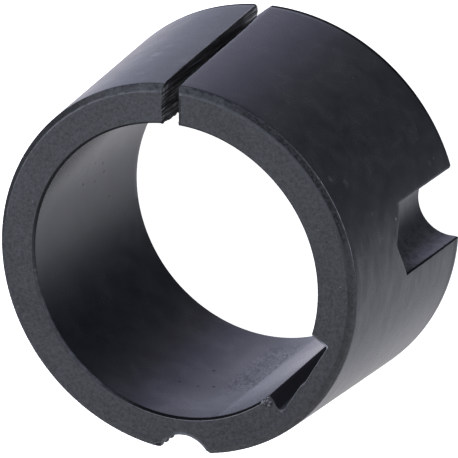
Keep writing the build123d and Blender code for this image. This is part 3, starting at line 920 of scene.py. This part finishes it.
def bore_material():
    t = Tree("oxide_bored_wall")
    streak = t.noise(t.vec(t.math("MULTIPLY", t.a, 4.0), t.math("MULTIPLY", t.z, 2.4), 0.0), 1.0, 5.0, 0.6)
    fine = t.noise(t.mm, 3.2, 3.0, 0.6)
    cloud = t.noise(t.mm, 0.4, 5.0, 0.65, 0.5)
    broad = t.noise(t.vec(t.math("MULTIPLY", t.a, 4.2), t.math("MULTIPLY", t.z, 0.30), 3.0), 1.0, 3.0, 0.55, 0.6)
    color = t.mix(t.span(cloud, 0.36, 0.64, 0.0, 1.0), rgb(0.0075, 0.0077, 0.0084), rgb(0.0150, 0.0153, 0.0167))
    bottom = t.math("MULTIPLY", t.span(t.a, math.radians(-132), math.radians(-112), 0.0, 1.0), t.span(t.a, math.radians(-56), math.radians(-46), 1.0, 0.0))
    color = t.mix(t.math("MULTIPLY", t.span(broad, 0.46, 0.62, 0.0, 0.75), t.span(bottom, 0.0, 1.0, 0.25, 1.0)), color, rgb(0.0300, 0.0306, 0.0330))
    # soft smears: the first seven shinier than the rest of the wall, the last three duller
    shine = t.math("MULTIPLY", t.span(broad, 0.32, 0.68, -0.06, 0.07), t.span(bottom, 0.0, 1.0, 0.25, 1.0))
    for angle, z, r, soft, k in (
        (-104.0, 17.5, 0.6, 2.8, 0.12), (-92.0, 18.8, 0.6, 2.4, 0.14), (-82.0, 19.6, 0.5, 1.6, 0.08),
        (-92.8, 8.9, 0.2, 1.2, 0.15), (-90.0, 6.9, 0.2, 1.2, 0.16), (-86.6, 4.9, 0.2, 1.1, 0.16), (-83.8, 3.2, 0.2, 0.9, 0.14),
        (-94.0, 13.6, 0.5, 2.2, -0.10), (-102.4, 11.6, 0.5, 2.4, -0.10), (-107.0, 14.6, 0.4, 1.8, -0.08),
    ):
        m = t.math("MULTIPLY", t.blob(at(angle, BORE_R, z), r, soft), k)
        shine = t.math("ADD", shine, t.math("MULTIPLY", m, t.span(cloud, 0.34, 0.60, 0.45, 1.0)))
    # painted light: the upper left of the wall is lighter towards the small end
    front = t.math("MULTIPLY", t.span(t.a, math.radians(112), math.radians(128), 0.0, 1.0, True), t.span(t.a, math.radians(158), math.radians(176), 1.0, 0.0, True))
    front = t.math("MULTIPLY", front, t.span(t.z, L - 4.5, L - 0.8, 0.0, 1.0))
    color = t.mix(t.math("MULTIPLY", front, 0.8), color, rgb(0.040, 0.0404, 0.0415))
    rough = t.math("ADD", t.span(streak, 0.3, 0.7, 0.225, 0.258), t.span(cloud, 0.3, 0.7, -0.020, 0.030))
    # stain beside the painted reflection strip: dark blotches drawn out along the helix
    lean = t.vec(t.math("MULTIPLY", t.math("SUBTRACT", t.math("MULTIPLY", t.a, 14.0), t.math("MULTIPLY", t.z, 0.55)), 2.4), t.math("MULTIPLY", t.z, 1.1), 0.0)
    blotch = t.noise(lean, 0.95, 4.0, 0.62, 1.3)
    stain = t.math("MULTIPLY", t.span(t.a, math.radians(-97), math.radians(-88), 0.0, 1.0, True), t.span(t.a, math.radians(-79), math.radians(-77), 1.0, 0.0, True))
    stain = t.math("MULTIPLY", stain, t.math("MULTIPLY", t.span(t.z, 1.5, 4.5, 0.0, 1.0, True), t.span(t.z, 13.0, 17.5, 1.0, 0.0, True)))
    wet = t.math("MULTIPLY", stain, t.span(blotch, 0.46, 0.60, 0.0, 1.0))
    rough = t.math("ADD", rough, t.math("MULTIPLY", wet, 0.11))
    color = t.mix(t.math("MULTIPLY", wet, 0.8), color, rgb(0.0040, 0.0042, 0.0046))
    # a light smear on the stain's far side
    smear = t.math("MULTIPLY", t.span(t.a, math.radians(-101), math.radians(-96), 0.0, 1.0, True), t.span(t.a, math.radians(-92), math.radians(-88), 1.0, 0.0, True))
    smear = t.math("MULTIPLY", smear, t.math("MULTIPLY", t.span(t.z, 1.5, 4.0, 0.0, 1.0, True), t.span(t.z, 8.0, 12.0, 1.0, 0.0, True)))
    color = t.mix(t.math("MULTIPLY", smear, t.span(streak, 0.35, 0.6, 0.2, 0.6)), color, rgb(0.045, 0.046, 0.050))
    # painted reflection: a light strip beside the keyway
    strip = t.math("MULTIPLY", t.span(t.math("ADD", t.a, t.math("MULTIPLY", t.z, 0.0042)), math.radians(-76.0), math.radians(-73.8), 0.0, 1.0, True), t.span(t.a, math.radians(-54), math.radians(-50), 1.0, 0.0, True))
    color = t.mix(t.math("MULTIPLY", strip, t.span(streak, 0.3, 0.6, 0.7, 1.0)), color, rgb(0.092, 0.093, 0.104))
    # pits
    pits = t.specks(0.75, 0.07, 0.74, 2.1)
    for angle, z, r in ((158.6, 12.7, 0.10), (154.3, 9.1, 0.10), (159.3, 8.2, 0.09), (205.7, 13.9, 0.10), (257.9, 10.7, 0.09), (264.3, 14.2, 0.08), (161.0, 10.0, 0.07), (151.0, 11.3, 0.06), (172.0, 6.4, 0.06),
                        (-102.4, 10.6, 0.09), (-108.8, 14.9, 0.08), (-101.4, 14.7, 0.08), (-96.0, 14.1, 0.09), (-89.7, 11.5, 0.08), (-84.1, 13.2, 0.09), (-86.6, 12.0, 0.07)):
        pits = t.math("MAXIMUM", pits, t.blob(at(angle, BORE_R, z), r, 0.10))
    color = t.mix(t.math("MULTIPLY", pits, 0.6), color, rgb(0.003, 0.003, 0.003))
    rough = t.math("ADD", rough, t.math("MULTIPLY", pits, 0.2))
    # the far mouth is rubbed lighter
    lip = t.math("MULTIPLY", t.span(t.z, 0.55, 0.9, 1.0, 0.0), t.math("GREATER_THAN", t.y, 0.0))
    color = t.mix(t.math("MULTIPLY", lip, 0.7), color, rgb(0.070, 0.071, 0.074))
    # painted shade: a black line behind the front corner, low down, also rougher and less shiny
    h = t.math("SUBTRACT", L, t.z)
    low = t.math("MULTIPLY", t.span(t.a, math.radians(-106), math.radians(-90), 0.0, 1.0, True), t.span(t.a, math.radians(-66), math.radians(-59), 1.0, 0.0, True))
    ragged = t.noise(t.vec(t.math("MULTIPLY", t.a, 12.0), 0.0, 9.0), 1.0, 3.0, 0.6)
    edge = t.span(t.math("ADD", h, t.span(ragged, 0.3, 0.7, -0.08, 0.08)), 0.30, 0.40, 1.0, 0.0)
    line = t.math("MULTIPLY", low, edge)
    color = t.mix(t.math("MULTIPLY", line, 0.95), color, rgb(0.0015, 0.0015, 0.0018))
    rough = t.math("ADD", rough, t.math("MULTIPLY", line, 0.4))
    n = t.bump(fine, 0.08, 0.00002)
    n = t.bump(streak, 0.06, 0.00004, n)
    n = t.bump(pits, -0.7, 0.00006, n)
    shine = t.math("SUBTRACT", shine, t.math("MULTIPLY", wet, 0.14))
    spec = t.math("MULTIPLY", t.math("ADD", shine, 0.5), t.span(line, 0.0, 1.0, 1.0, 0.24))
    return t.finish(color, rough, n, 1.5, spec)


def sawn_material():
    t = Tree("sawn_wall")
    lean = t.math("ADD", t.math("MULTIPLY", t.r, 8.5), t.math("MULTIPLY", t.z, 0.10))
    lines = t.noise(t.vec(lean, t.math("MULTIPLY", t.z, 0.12), 0.0), 1.0, 3.0, 0.75)
    patch = t.noise(t.vec(t.math("MULTIPLY", t.r, 0.9), t.math("MULTIPLY", t.z, 0.9), 4.0), 1.0, 3.0, 0.6)
    near = t.span(t.z, L - 4.5, L - 0.5, 0.22, 1.0)
    far = t.span(t.z, 5.5, 1.2, 0.0, 1.0)
    depth = t.math("MAXIMUM", near, far)
    even = t.math("MAXIMUM", t.span(patch, 0.42, 0.60, 0.15, 1.0), t.math("MULTIPLY", far, 0.9))
    streak = t.math("MULTIPLY", t.math("MULTIPLY", t.span(lines, 0.50, 0.60, 0.0, 1.0), even), depth)
    # the outer third is dark and coarse, but for the far end
    cone = t.math("ADD", t.r, t.math("MULTIPLY", t.z, SLOPE))
    outer = t.math("MAXIMUM", t.span(cone, LARGE_R - 1.7, LARGE_R - 0.9, 1.0, 0.35), far)
    streak = t.math("MULTIPLY", streak, outer)
    across = t.math("ADD", t.math("MULTIPLY", t.x, float(n_dir[0])), t.math("MULTIPLY", t.y, float(n_dir[1])))
    streak = t.math("MULTIPLY", streak, t.span(across, -0.6, -0.2, 1.0, 0.12))
    color = t.mix(streak, rgb(0.0022, 0.0023, 0.0025), rgb(0.56, 0.565, 0.575))
    rough = t.span(lines, 0.4, 0.6, 0.80, 0.5)
    return t.finish(color, rough, t.bump(lines, 0.7, 0.00006), 1.45)


def keyway_material():
    t = Tree("broached_keyway")
    lines = t.noise(t.vec(t.math("MULTIPLY", t.x, 5.0), t.math("MULTIPLY", t.y, 5.0), t.math("MULTIPLY", t.z, 0.2)), 1.0, 4.0, 0.6)
    color = t.mix(t.span(lines, 0.40, 0.66, 0.0, 1.0), rgb(0.0020, 0.0021, 0.0025), rgb(0.0065, 0.0067, 0.0080))
    rim = t.span(t.z, L - 0.11, L - 0.03, 0.0, 1.0)
    deep = t.span(t.r, 15.1, 15.4, 0.12, 1.0)
    # painted highlights: a light line along the floor's front edge, and a bright front corner on the wall towards the
    # saw cut
    side = t.math("ADD", t.math("MULTIPLY", t.x, -math.sin(KEY_DIR)), t.math("MULTIPLY", t.y, math.cos(KEY_DIR)))
    deep = t.math("MULTIPLY", deep, t.span(side, -KEY_W / 2 + 0.55, -KEY_W / 2 + 1.1, 0.0, 0.45))
    color = t.mix(t.math("MULTIPLY", rim, deep), color, rgb(0.10, 0.101, 0.104))
    bright = t.math("MULTIPLY", t.span(side, KEY_W / 2 - 0.1, KEY_W / 2 - 0.02, 0.0, 1.0), t.span(t.z, L - 0.18, L - 0.12, 0.0, 1.0))
    bright = t.math("MULTIPLY", bright, t.span(t.r, 15.0, 15.5, 0.4, 1.0))
    color = t.mix(t.math("MULTIPLY", bright, 0.9), color, rgb(0.21, 0.212, 0.216))
    rough = t.span(lines, 0.3, 0.7, 0.52, 0.40)
    return t.finish(color, rough, t.bump(lines, 0.3, 0.00004), 1.5)


def drilled_material():
    t = Tree("drilled_half_hole")
    rings = t.noise(t.vec(t.math("MULTIPLY", t.x, 0.5), t.math("MULTIPLY", t.y, 0.5), t.math("MULTIPLY", t.z, 3.6)), 1.0, 4.0, 0.62)
    fine = t.noise(t.mm, 4.0, 3.0, 0.6)
    wipe = t.noise(t.vec(t.math("MULTIPLY", t.y, 1.6), t.math("MULTIPLY", t.z, 0.5), t.math("MULTIPLY", t.x, 0.8)), 1.0, 3.0, 0.6, 0.4)
    color = t.mix(t.span(rings, 0.38, 0.64, 0.0, 1.0), rgb(0.0120, 0.0122, 0.0130), rgb(0.0245, 0.0249, 0.0266))
    color = t.mix(t.span(wipe, 0.50, 0.68, 0.0, 0.5), color, rgb(0.034, 0.0346, 0.037))
    grain = t.math("MULTIPLY", t.span(fine, 0.56, 0.66, 0.0, 0.75), t.span(t.y, -1.6, -2.6, 0.25, 1.0))
    color = t.mix(grain, color, rgb(0.050, 0.0508, 0.054))
    dots = t.noise(t.mm, 1.5, 3.0, 0.65)
    color = t.mix(t.math("MULTIPLY", t.span(dots, 0.54, 0.64, 0.0, 0.6), t.span(t.y, -1.0, -2.2, 0.1, 1.0)), color, rgb(0.003, 0.003, 0.0034))
    cone = t.math("ADD", t.r, t.math("MULTIPLY", t.z, SLOPE))
    low_side = t.math("LESS_THAN", t.math("MULTIPLY", t.y, t.x), 0.0)
    lip = t.math("MULTIPLY", t.span(cone, LARGE_R - 0.26, LARGE_R - 0.15, 0.0, 1.0), low_side)
    color = t.mix(t.math("MULTIPLY", lip, 0.95), color, rgb(0.0018, 0.0018, 0.002))
    # painted highlight along the mouth's edge on the upper side
    edge_highlight = t.math("MULTIPLY", t.span(cone, LARGE_R - 0.14, LARGE_R - 0.05, 0.0, 1.0), t.math("SUBTRACT", 1.0, low_side))
    color = t.mix(t.math("MULTIPLY", edge_highlight, 0.7), color, rgb(0.075, 0.076, 0.080))
    rough = t.math("ADD", t.span(rings, 0.35, 0.65, 0.335, 0.305), t.math("MULTIPLY", lip, 0.4))
    rough = t.math("ADD", rough, t.math("MULTIPLY", t.span(dots, 0.38, 0.62, -0.02, 0.05), t.span(t.y, -1.0, -2.2, 0.25, 1.0)))
    n = t.bump(rings, 0.04, 0.00004)
    n = t.bump(fine, 0.25, 0.00003, n)
    n = t.bump(t.math("MULTIPLY", dots, t.span(t.y, -1.0, -2.2, 0.2, 1.0)), 0.3, 0.00012, n)
    spec = t.math("ADD", t.span(t.y, -0.8, -2.2, 0.52, 0.66), t.math("MULTIPLY", t.span(dots, 0.50, 0.62, 0.0, -0.16), t.span(t.y, -1.0, -2.2, 0.0, 1.0)))
    spec = t.math("SUBTRACT", spec, t.math("MULTIPLY", t.span(t.y, -1.2, -2.4, 0.0, 0.30), t.span(t.z, 5.5, 10.0, 0.0, 1.0)))
    return t.finish(color, rough, n, 1.5, t.math("MULTIPLY", spec, t.math("SUBTRACT", 1.0, t.math("MULTIPLY", lip, 0.7))))


def thread_material():
    t = Tree("cut_thread")
    fine = t.noise(t.mm, 3.0, 4.0, 0.6)
    c = SCREW_R * unit(np.array(TAP_DIR))
    dx, dy = t.math("SUBTRACT", t.x, float(c[0])), t.math("SUBTRACT", t.y, float(c[1]))
    deep = t.math("SQRT", t.math("ADD", t.math("MULTIPLY", dx, dx), t.math("MULTIPLY", dy, dy)))
    color = t.mix(t.span(fine, 0.35, 0.65, 0.0, 1.0), rgb(0.010, 0.0102, 0.0106), rgb(0.030, 0.0304, 0.0315))
    # painted shade: darker deeper in the thread's grooves
    color = t.mix(t.span(deep, TAP_R + 0.08, TAP_R + 0.3, 0.0, 0.85), color, rgb(0.002, 0.002, 0.0022))
    # the right half of the mouth at the small end is rubbed light; the torn left corner is light and dark in spots
    mouth = t.span(t.z, L - 0.24, L - 0.14, 0.0, 1.0)
    color = t.mix(t.math("MULTIPLY", mouth, t.span(dx, -0.9, 0.2, 0.0, 0.8)), color, rgb(0.13, 0.131, 0.134))
    spot = t.noise(t.mm, 4.2, 2.0, 0.6)
    broken = t.math("MULTIPLY", t.span(t.z, L - 1.3, L - 0.9, 0.0, 1.0), t.span(dx, -1.7, -1.2, 1.0, 0.0))
    color = t.mix(t.math("MULTIPLY", broken, t.span(spot, 0.50, 0.57, 0.0, 0.8)), color, rgb(0.12, 0.121, 0.124))
    color = t.mix(t.math("MULTIPLY", broken, t.span(spot, 0.48, 0.42, 0.0, 1.0)), color, rgb(0.002, 0.002, 0.0021))
    rough = t.math("ADD", t.span(fine, 0.3, 0.7, 0.38, 0.5), t.span(deep, TAP_R + 0.08, TAP_R + 0.3, 0.0, 0.25))
    return t.finish(color, rough, t.bump(fine, 0.3, 0.00003), 1.5)


for make in (face_material, taper_material, bore_material, sawn_material, keyway_material, drilled_material, thread_material,
             chamfer_material, bore_edge_material):
    mesh.materials.append(make())

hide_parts(NODE)
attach(bush, "root")

# ------------------------------------------------------------------ floor
bpy.ops.mesh.primitive_plane_add(size=4.0, location=(0.0, 0.0, 0.0))
floor = bpy.context.active_object
floor.name = "studio_floor"
fm = bpy.data.materials.new("pale_floor")
fm.use_nodes = True
fb = fm.node_tree.nodes["Principled BSDF"]
fb.inputs["Base Color"].default_value = (0.86, 0.86, 0.86, 1.0)
fb.inputs["Roughness"].default_value = 0.9
fb.inputs["Emission Color"].default_value = (1.0, 1.0, 1.0, 1.0)
fb.inputs["Emission Strength"].default_value = 1.0
floor.data.materials.append(fm)
floor.location.z = -0.00003
floor.visible_glossy = False

# ------------------------------------------------------------------ light
scene = bpy.context.scene
scene.view_settings.view_transform = "Standard"
# soft surroundings: round patches of light, each (direction, sharpness, colour), falling off as
# exp(sharpness * (cos(angle) - 1))
PATCHES = [
    ((0.2169, 0.0000, 0.9762), 6.0, (0.001, 0.012, 0.054)),
    ((-0.2737, -0.2507, 0.9286), 6.0, (0.004, 0.009, 0.025)),
    ((0.0414, 0.4714, 0.8810), 6.0, (0.004, 0.014, 0.065)),
    ((0.3363, -0.4387, 0.8333), 6.0, (0.157, 0.164, 0.186)),
    ((0.5693, 0.3621, 0.7381), 6.0, (0.124, 0.134, 0.177)),
    ((-0.1878, -0.6986, 0.6905), 6.0, (0.146, 0.150, 0.160)),
    ((-0.3530, 0.6798, 0.6429), 6.0, (0.010, 0.014, 0.050)),
    ((0.7548, -0.2756, 0.5952), 6.0, (0.309, 0.316, 0.343)),
    ((-0.7734, -0.3193, 0.5476), 6.0, (0.012, 0.015, 0.020)),
    ((0.3671, 0.7844, 0.5000), 6.0, (0.086, 0.095, 0.143)),
    ((0.2669, -0.8509, 0.4524), 6.0, (0.317, 0.321, 0.333)),
    ((-0.7912, 0.4585, 0.4048), 6.0, (0.008, 0.010, 0.036)),
    ((0.9123, 0.2006, 0.3571), 6.0, (0.252, 0.260, 0.290)),
    ((-0.5469, -0.7779, 0.3095), 6.0, (0.114, 0.117, 0.123)),
    ((-0.1240, 0.9571, 0.2619), 6.0, (0.035, 0.041, 0.088)),
    ((0.7469, -0.6295, 0.2143), 6.0, (0.387, 0.394, 0.420)),
    ((-0.9852, -0.0407, 0.1667), 6.0, (0.023, 0.026, 0.040)),
    ((0.7038, 0.7004, 0.1190), 6.0, (0.116, 0.126, 0.169)),
    ((-0.0461, -0.9964, 0.0714), 6.0, (0.253, 0.256, 0.266)),
    ((-0.6405, 0.7676, 0.0238), 6.0, (0.007, 0.011, 0.047)),
    ((0.9908, -0.1333, -0.0238), 6.0, (0.217, 0.229, 0.274)),
    ((-0.8188, -0.5697, -0.0714), 6.0, (0.065, 0.068, 0.076)),
    ((0.2179, 0.9687, -0.1190), 6.0, (0.014, 0.027, 0.088)),
    ((0.4902, -0.8555, -0.1667), 6.0, (0.369, 0.375, 0.395)),
    ((-0.9306, 0.2969, -0.2143), 6.0, (0.017, 0.021, 0.044)),
    ((0.8761, 0.4048, -0.2619), 6.0, (0.000, 0.000, 0.023)),
    ((-0.3671, -0.8772, -0.3095), 6.0, (0.171, 0.174, 0.182)),
    ((-0.3161, 0.8789, -0.3571), 6.0, (0.000, 0.000, 0.022)),
    ((0.8094, -0.4254, -0.4048), 6.0, (0.075, 0.097, 0.178)),
    ((-0.8624, -0.2273, -0.4524), 6.0, (0.039, 0.043, 0.054)),
    ((0.1417, -0.8246, -0.5476), 6.0, (0.217, 0.220, 0.234)),
    ((-0.6353, 0.4920, -0.5952), 6.0, (0.000, 0.000, 0.020)),
    ((-0.4912, -0.5310, -0.6905), 6.0, (0.038, 0.044, 0.056)),
    ((0.2868, 0.4967, -0.8192), 30.0, (0.039, 0.044, 0.081)),
    ((0.1485, 0.5540, -0.8192), 30.0, (0.043, 0.053, 0.000)),
    ((0.0000, 0.5736, -0.8192), 30.0, (0.103, 0.082, 0.091)),
    ((-0.1485, 0.5540, -0.8192), 30.0, (0.139, 0.148, 0.340)),
    ((-0.2868, 0.4967, -0.8192), 30.0, (0.208, 0.233, 0.205)),
    ((-0.4056, 0.4056, -0.8192), 30.0, (0.410, 0.359, 0.438)),
    ((-0.4967, 0.2868, -0.8192), 30.0, (0.036, 0.087, 0.173)),
    ((-0.5540, 0.1485, -0.8192), 30.0, (0.132, 0.157, 0.185)),
    ((-0.5736, 0.0000, -0.8192), 30.0, (0.347, 0.314, 0.372)),
    ((-0.5540, -0.1485, -0.8192), 30.0, (0.312, 0.300, 0.330)),
    ((-0.4967, -0.2868, -0.8192), 30.0, (0.212, 0.215, 0.202)),
    ((-0.4056, -0.4056, -0.8192), 30.0, (0.232, 0.225, 0.198)),
    ((-0.2868, -0.4967, -0.8192), 30.0, (0.146, 0.134, 0.135)),
    ((-0.1485, -0.5540, -0.8192), 30.0, (0.019, 0.019, 0.051)),
    ((-0.0000, -0.5736, -0.8192), 30.0, (0.387, 0.393, 0.382)),
    ((0.1485, -0.5540, -0.8192), 30.0, (0.006, 0.004, 0.035)),
    ((0.4056, -0.4056, -0.8192), 30.0, (0.478, 0.478, 0.507)),
]
world = bpy.data.worlds.new("studio")
scene.world = world
world.use_nodes = True
wt = world.node_tree
wt.nodes.clear()
w_out = wt.nodes.new("ShaderNodeOutputWorld")
w_bg = wt.nodes.new("ShaderNodeBackground")
wt.links.new(w_bg.outputs[0], w_out.inputs[0])
w_co = wt.nodes.new("ShaderNodeTexCoord")
total = None
for direction, sharpness, colour in PATCHES:
    dot = wt.nodes.new("ShaderNodeVectorMath")
    dot.operation = "DOT_PRODUCT"
    wt.links.new(w_co.outputs["Generated"], dot.inputs[0])
    dot.inputs[1].default_value = direction
    fall = wt.nodes.new("ShaderNodeMath")
    fall.operation = "MULTIPLY_ADD"
    wt.links.new(dot.outputs["Value"], fall.inputs[0])
    fall.inputs[1].default_value = sharpness
    fall.inputs[2].default_value = -sharpness
    glow = wt.nodes.new("ShaderNodeMath")
    glow.operation = "EXPONENT"
    wt.links.new(fall.outputs[0], glow.inputs[0])
    add = wt.nodes.new("ShaderNodeVectorMath")
    add.operation = "MULTIPLY_ADD"
    wt.links.new(glow.outputs[0], add.inputs[0])
    add.inputs[1].default_value = colour
    if total is None:
        add.inputs[2].default_value = (0.0, 0.0, 0.0)
    else:
        wt.links.new(total, add.inputs[2])
    total = add.outputs[0]
wt.links.new(total, w_bg.inputs["Color"])
w_bg.inputs["Strength"].default_value = 1.03

key = bpy.data.lights.new("key", "AREA")
key.shape = "RECTANGLE"
key.size, key.size_y = 0.5, 0.4
key.energy = 7.931
key.color = (0.843, 0.880, 1.000)
key_ob = bpy.data.objects.new("key", key)
scene.collection.objects.link(key_ob)
key_ob.location = (-0.45, 0.25, 0.55)
key_ob.rotation_euler = (Vector((0, 0, 0.01)) - key_ob.location).to_track_quat("-Z", "Y").to_euler()

# ------------------------------------------------------------------ camera
cam = bpy.data.cameras.new("camera")
cam_ob = bpy.data.objects.new("camera", cam)
scene.collection.objects.link(cam_ob)
cam.sensor_width = 36.0
cam.lens = 310.67
cam.clip_start, cam.clip_end = 0.01, 50.0
right_ = Vector((0.905634, -0.115407, -0.408053))
up_ = Vector((-0.019892, 0.949635, -0.312727))
back_ = right_.cross(up_)
m = Matrix((right_, up_, back_)).transposed().to_4x4()
m.translation = Vector((0.1549158, 0.1066516, 0.3236084)) + 0.0000316 * right_ + 0.000021 * up_
cam_ob.matrix_world = m
scene.camera = cam_ob
